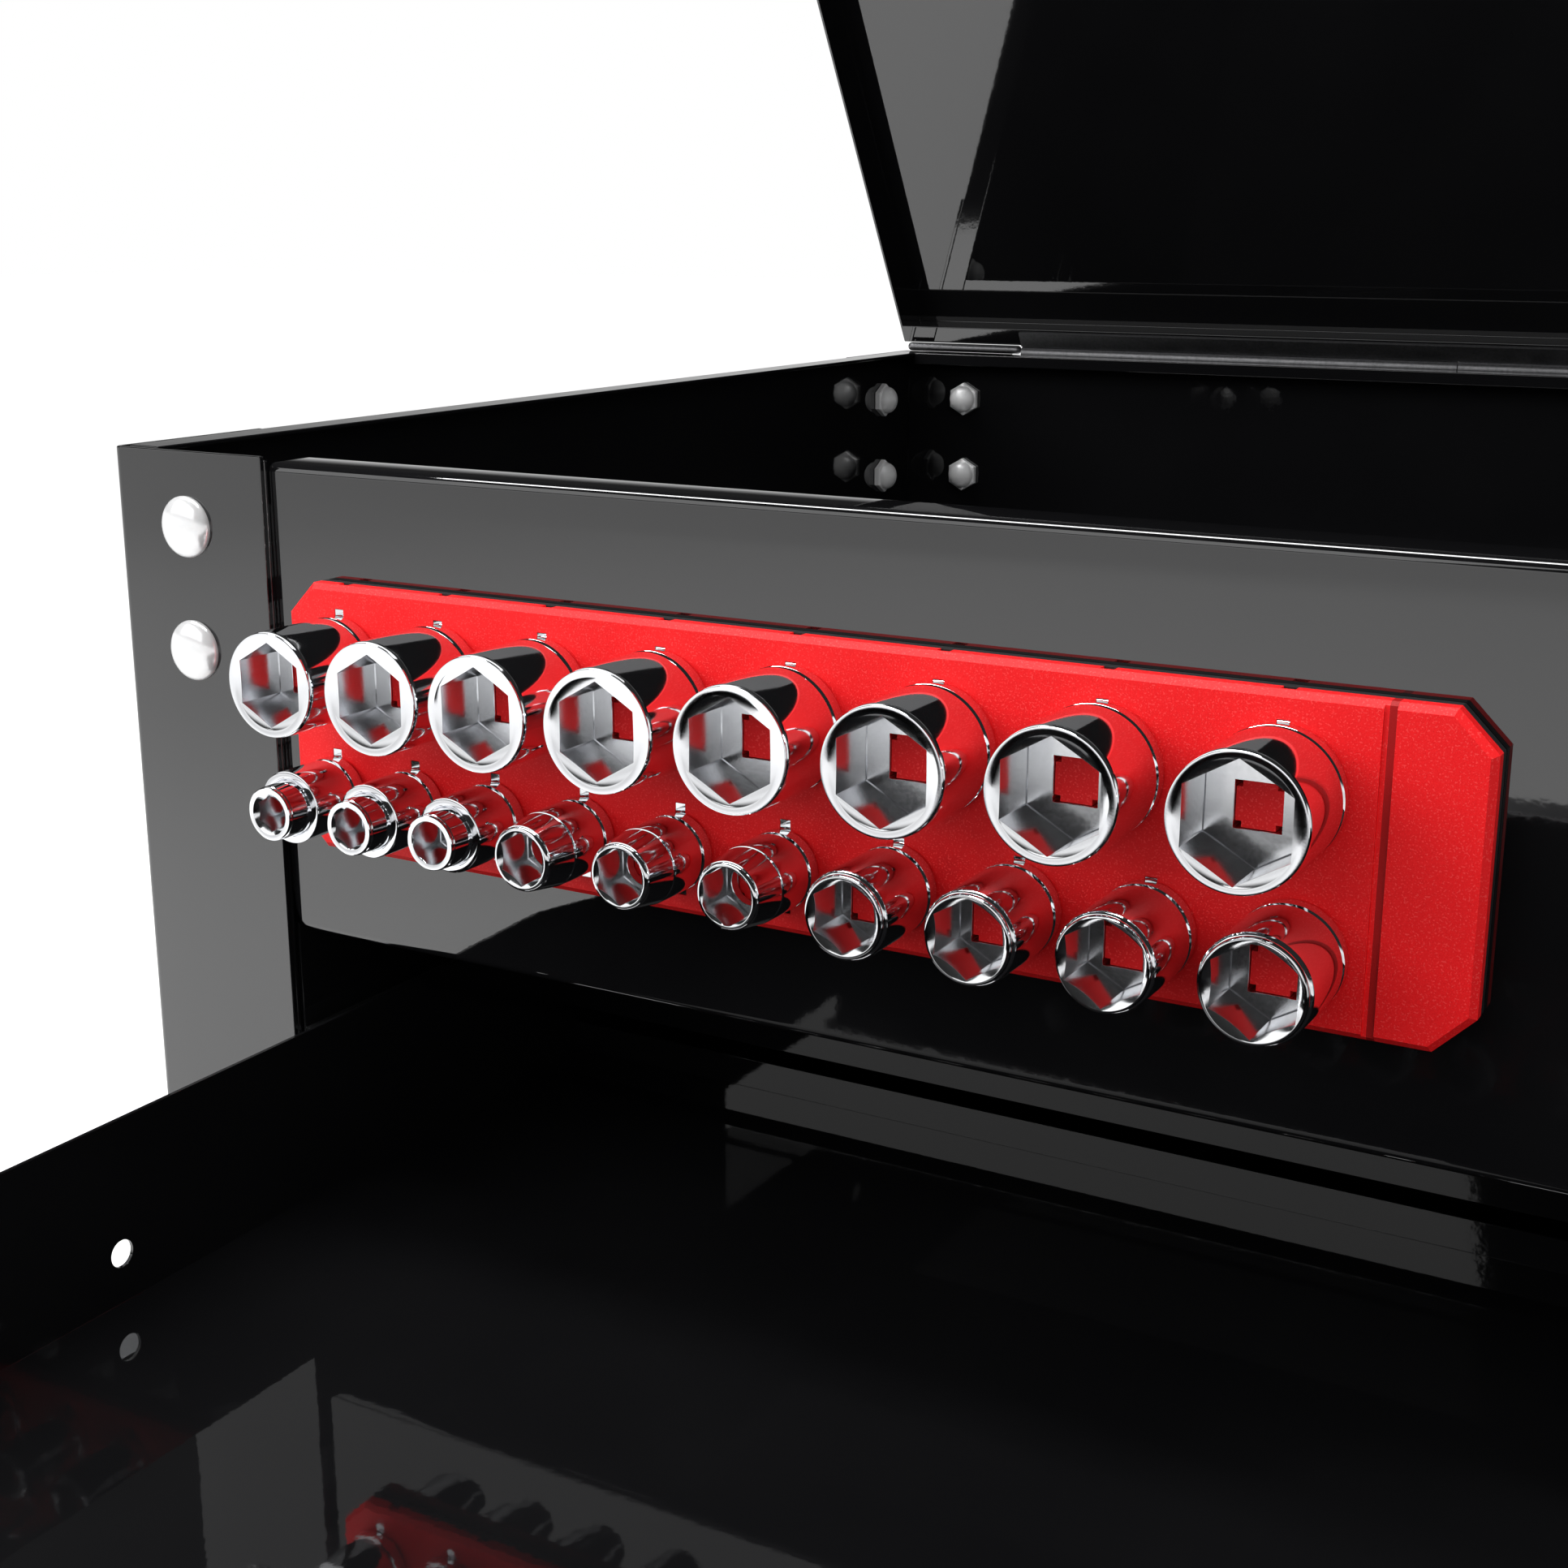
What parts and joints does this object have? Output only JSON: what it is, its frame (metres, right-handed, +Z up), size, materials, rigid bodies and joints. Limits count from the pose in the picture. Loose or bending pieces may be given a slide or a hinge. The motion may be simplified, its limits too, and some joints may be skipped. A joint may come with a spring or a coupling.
{
  "type": "tool chest with a socket organizer",
  "caption": "Sheet-metal tool chest with a hinged lid, an open till, sliding drawers and a magnetic plate of removable sockets on its front panel.",
  "frame": {"origin": "centre of the flat base, where the box rests", "axes": "+Z up, +Y from the front to the back, +X to the right as seen from the front"},
  "size_m": [0.6672, 0.7722, 0.7879],
  "materials": {
    "black_paint": "gloss black paint",
    "socket_chrome": "polished chrome plate",
    "red_plastic": "fine-grained matt red",
    "black_plastic": "matt black",
    "magnet_metal": "plated",
    "keeper_steel": "bright steel",
    "bolt_chrome": "polished",
    "nut_steel": "bright zinc plate",
    "slide_steel": "zinc plate",
    "pull_aluminium": "satin",
    "hinge_steel": "zinc plate"
  },
  "bodies": {
    "chest": {"corner_post_front_left": "black_paint", "corner_post_front_right": "black_paint", "corner_post_back_left": "black_paint", "corner_post_back_right": "black_paint", "side_panel_left": "black_paint", "side_panel_right": "black_paint", "back_panel": "black_paint", "base_pan": "black_paint", "till_front_panel": "black_paint", "till_floor": "black_paint", "slide_liner_left": "black_paint", "slide_liner_right": "black_paint", "post_bolts": "bolt_chrome", "post_nuts": "nut_steel", "hinge_leaf_box": "hinge_steel", "hinge_pin": "hinge_steel", "drawer_1_outer_slides": "slide_steel", "drawer_2_outer_slides": "slide_steel", "drawer_3_outer_slides": "slide_steel"},
    "lid": {"lid_shell": "black_paint", "hinge_leaf_lid": "hinge_steel"},
    "drawer_1": {"drawer_1_tray": "black_paint", "drawer_1_front": "black_paint", "drawer_1_pull": "pull_aluminium", "drawer_1_inner_slides": "slide_steel"},
    "drawer_1_middle": {"drawer_1_middle_slides": "slide_steel"},
    "drawer_2": {"drawer_2_tray": "black_paint", "drawer_2_front": "black_paint", "drawer_2_pull": "pull_aluminium", "drawer_2_inner_slides": "slide_steel"},
    "drawer_2_middle": {"drawer_2_middle_slides": "slide_steel"},
    "drawer_3": {"drawer_3_tray": "black_paint", "drawer_3_front": "black_paint", "drawer_3_pull": "pull_aluminium", "drawer_3_inner_slides": "slide_steel"},
    "drawer_3_middle": {"drawer_3_middle_slides": "slide_steel"},
    "organizer": {"organizer_cover": "red_plastic", "organizer_base": "black_plastic", "magnets": "magnet_metal", "keeper_strip_upper": "keeper_steel", "keeper_strip_lower": "keeper_steel"},
    "socket_top_1": {"socket_top_1": "socket_chrome"},
    "socket_top_2": {"socket_top_2": "socket_chrome"},
    "socket_top_3": {"socket_top_3": "socket_chrome"},
    "socket_top_4": {"socket_top_4": "socket_chrome"},
    "socket_top_5": {"socket_top_5": "socket_chrome"},
    "socket_top_6": {"socket_top_6": "socket_chrome"},
    "socket_top_7": {"socket_top_7": "socket_chrome"},
    "socket_top_8": {"socket_top_8": "socket_chrome"},
    "socket_bottom_1": {"socket_bottom_1": "socket_chrome"},
    "socket_bottom_2": {"socket_bottom_2": "socket_chrome"},
    "socket_bottom_3": {"socket_bottom_3": "socket_chrome"},
    "socket_bottom_4": {"socket_bottom_4": "socket_chrome"},
    "socket_bottom_5": {"socket_bottom_5": "socket_chrome"},
    "socket_bottom_6": {"socket_bottom_6": "socket_chrome"},
    "socket_bottom_7": {"socket_bottom_7": "socket_chrome"},
    "socket_bottom_8": {"socket_bottom_8": "socket_chrome"},
    "socket_bottom_9": {"socket_bottom_9": "socket_chrome"},
    "socket_bottom_10": {"socket_bottom_10": "socket_chrome"}
  },
  "joints": [
    {"name": "lid_hinge", "type": "hinge", "parent": "chest", "child": "lid", "pos_m": [0, 0.2291, 0.3865], "axis": [-1, 0, 0], "range_deg": [-59.3, 35.7]},
    {"name": "drawer_1_slide", "type": "slide", "parent": "chest", "child": "drawer_1", "axis": [0, -1, 0], "range_m": [-0.2917, 0.0983]},
    {"name": "drawer_1_middle_slide", "type": "slide", "parent": "chest", "child": "drawer_1_middle", "axis": [0, -1, 0], "range_m": [-0.14585, 0.04915]},
    {"name": "drawer_2_slide", "type": "slide", "parent": "chest", "child": "drawer_2", "axis": [0, -1, 0], "range_m": [0, 0.39]},
    {"name": "drawer_2_middle_slide", "type": "slide", "parent": "chest", "child": "drawer_2_middle", "axis": [0, -1, 0], "range_m": [0, 0.195]},
    {"name": "drawer_3_slide", "type": "slide", "parent": "chest", "child": "drawer_3", "axis": [0, -1, 0], "range_m": [0, 0.39]},
    {"name": "drawer_3_middle_slide", "type": "slide", "parent": "chest", "child": "drawer_3_middle", "axis": [0, -1, 0], "range_m": [0, 0.195]},
    {"name": "organizer_pull", "type": "slide", "parent": "chest", "child": "organizer", "axis": [0, -1, 0], "range_m": [0, 0.15]},
    {"name": "socket_top_1_lift", "type": "slide", "parent": "organizer", "child": "socket_top_1", "axis": [0, -1, 0], "range_m": [0, 0.06]},
    {"name": "socket_top_2_lift", "type": "slide", "parent": "organizer", "child": "socket_top_2", "axis": [0, -1, 0], "range_m": [0, 0.06]},
    {"name": "socket_top_3_lift", "type": "slide", "parent": "organizer", "child": "socket_top_3", "axis": [0, -1, 0], "range_m": [0, 0.06]},
    {"name": "socket_top_4_lift", "type": "slide", "parent": "organizer", "child": "socket_top_4", "axis": [0, -1, 0], "range_m": [0, 0.06]},
    {"name": "socket_top_5_lift", "type": "slide", "parent": "organizer", "child": "socket_top_5", "axis": [0, -1, 0], "range_m": [0, 0.06]},
    {"name": "socket_top_6_lift", "type": "slide", "parent": "organizer", "child": "socket_top_6", "axis": [0, -1, 0], "range_m": [0, 0.06]},
    {"name": "socket_top_7_lift", "type": "slide", "parent": "organizer", "child": "socket_top_7", "axis": [0, -1, 0], "range_m": [0, 0.06]},
    {"name": "socket_top_8_lift", "type": "slide", "parent": "organizer", "child": "socket_top_8", "axis": [0, -1, 0], "range_m": [0, 0.06]},
    {"name": "socket_bottom_1_lift", "type": "slide", "parent": "organizer", "child": "socket_bottom_1", "axis": [0, -1, 0], "range_m": [0, 0.06]},
    {"name": "socket_bottom_2_lift", "type": "slide", "parent": "organizer", "child": "socket_bottom_2", "axis": [0, -1, 0], "range_m": [0, 0.06]},
    {"name": "socket_bottom_3_lift", "type": "slide", "parent": "organizer", "child": "socket_bottom_3", "axis": [0, -1, 0], "range_m": [0, 0.06]},
    {"name": "socket_bottom_4_lift", "type": "slide", "parent": "organizer", "child": "socket_bottom_4", "axis": [0, -1, 0], "range_m": [0, 0.06]},
    {"name": "socket_bottom_5_lift", "type": "slide", "parent": "organizer", "child": "socket_bottom_5", "axis": [0, -1, 0], "range_m": [0, 0.06]},
    {"name": "socket_bottom_6_lift", "type": "slide", "parent": "organizer", "child": "socket_bottom_6", "axis": [0, -1, 0], "range_m": [0, 0.06]},
    {"name": "socket_bottom_7_lift", "type": "slide", "parent": "organizer", "child": "socket_bottom_7", "axis": [0, -1, 0], "range_m": [0, 0.06]},
    {"name": "socket_bottom_8_lift", "type": "slide", "parent": "organizer", "child": "socket_bottom_8", "axis": [0, -1, 0], "range_m": [0, 0.06]},
    {"name": "socket_bottom_9_lift", "type": "slide", "parent": "organizer", "child": "socket_bottom_9", "axis": [0, -1, 0], "range_m": [0, 0.06]},
    {"name": "socket_bottom_10_lift", "type": "slide", "parent": "organizer", "child": "socket_bottom_10", "axis": [0, -1, 0], "range_m": [0, 0.06]}
  ],
  "couplings": [
    {"joint": "drawer_1_middle_slide", "follows": "drawer_1_slide", "ratio": 0.5},
    {"joint": "drawer_2_middle_slide", "follows": "drawer_2_slide", "ratio": 0.5},
    {"joint": "drawer_3_middle_slide", "follows": "drawer_3_slide", "ratio": 0.5}
  ]
}
